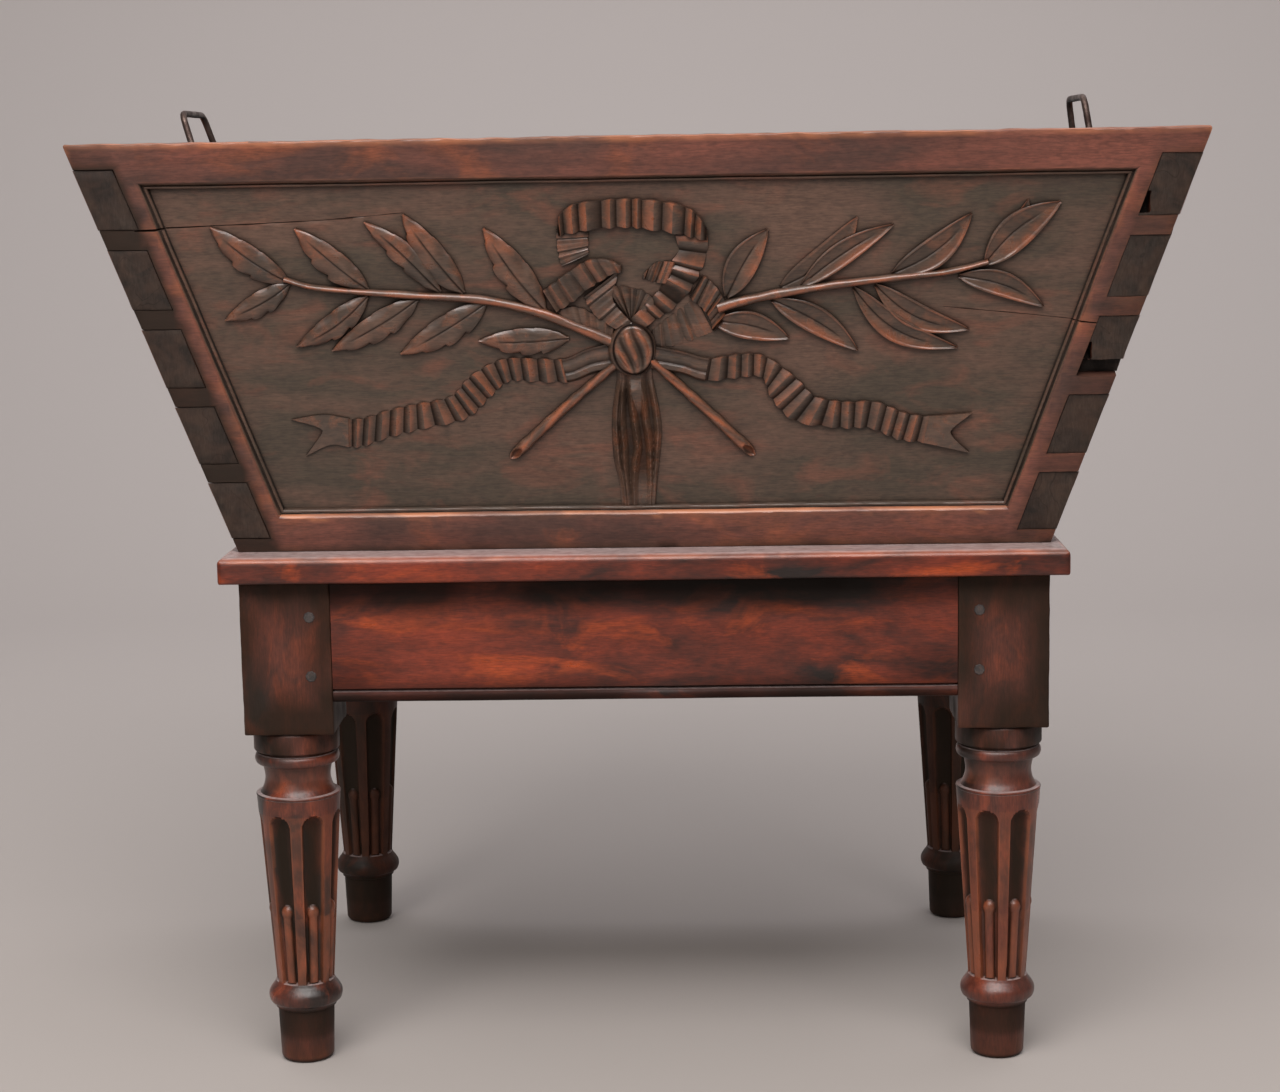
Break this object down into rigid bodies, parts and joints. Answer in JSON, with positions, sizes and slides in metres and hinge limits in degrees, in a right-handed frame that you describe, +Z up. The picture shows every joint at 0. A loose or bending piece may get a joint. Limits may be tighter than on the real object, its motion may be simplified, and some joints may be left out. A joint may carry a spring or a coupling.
{
  "type": "cellarette",
  "caption": "Open outward-leaning trough cellarette, dovetailed and carved with laurel and ribbon, on a fluted turned-leg stand, with a lift-out liner and two bails.",
  "frame": {"origin": "on the floor below the middle of the cellarette's box", "axes": "+X to the right of someone facing the carved front, along the length; +Y towards the back; +Z up"},
  "size_m": [1.04, 0.64, 0.9277],
  "materials": {
    "trough_wood": "waxed, aged walnut, semi-gloss",
    "end_board_wood": "waxed walnut, dark end grain on the tails",
    "stand_wood": "waxed, red-brown, semi-gloss",
    "peg_wood": "waxed, dark end grain",
    "inside_wood": "unfinished, dry and dusty",
    "iron": "hand-forged, dark brown patina, rubbed",
    "liner_metal": "dull grey zinc sheet, soldered"
  },
  "bodies": {
    "stand": {"front_left_leg": "stand_wood", "front_right_leg": "stand_wood", "back_left_leg": "stand_wood", "back_right_leg": "stand_wood", "front_rail": "stand_wood", "back_rail": "stand_wood", "left_rail": "stand_wood", "right_rail": "stand_wood", "front_frame_moulding": "stand_wood", "back_frame_moulding": "stand_wood", "left_frame_moulding": "stand_wood", "right_frame_moulding": "stand_wood", "front_rail_peg_1": "peg_wood", "front_rail_peg_2": "peg_wood", "front_rail_peg_3": "peg_wood", "front_rail_peg_4": "peg_wood", "back_rail_peg_1": "peg_wood", "back_rail_peg_2": "peg_wood", "back_rail_peg_3": "peg_wood", "back_rail_peg_4": "peg_wood", "left_rail_peg_1": "peg_wood", "left_rail_peg_2": "peg_wood", "left_rail_peg_3": "peg_wood", "left_rail_peg_4": "peg_wood", "right_rail_peg_1": "peg_wood", "right_rail_peg_2": "peg_wood", "right_rail_peg_3": "peg_wood", "right_rail_peg_4": "peg_wood"},
    "trough": {"front_board": "trough_wood", "back_board": "trough_wood", "left_end_board": "end_board_wood", "right_end_board": "end_board_wood", "front_floor_plank": "inside_wood", "back_floor_plank": "inside_wood", "left_floor_batten": "inside_wood", "right_floor_batten": "inside_wood"},
    "liner": {"liner_folded_sheet": "liner_metal", "liner_left_end": "liner_metal", "liner_right_end": "liner_metal", "liner_rim_wire": "liner_metal", "left_front_ear": "iron", "left_back_ear": "iron", "right_front_ear": "iron", "right_back_ear": "iron"},
    "left_bail": {"left_bail": "iron"},
    "right_bail": {"right_bail": "iron"}
  },
  "joints": [
    {"name": "trough_lift", "type": "slide", "parent": "stand", "child": "trough", "axis": [0, 0, 1], "range_m": [0, 0.06]},
    {"name": "liner_lift", "type": "slide", "parent": "trough", "child": "liner", "axis": [0, 0, 1], "range_m": [0, 0.4]},
    {"name": "left_bail_hinge", "type": "hinge", "parent": "liner", "child": "left_bail", "pos_m": [-0.448, 0, 0.88], "axis": [0, 1, 0], "range_deg": [0, 180]},
    {"name": "right_bail_hinge", "type": "hinge", "parent": "liner", "child": "right_bail", "pos_m": [0.448, 0, 0.88], "axis": [0, -1, 0], "range_deg": [-26, 154]}
  ]
}
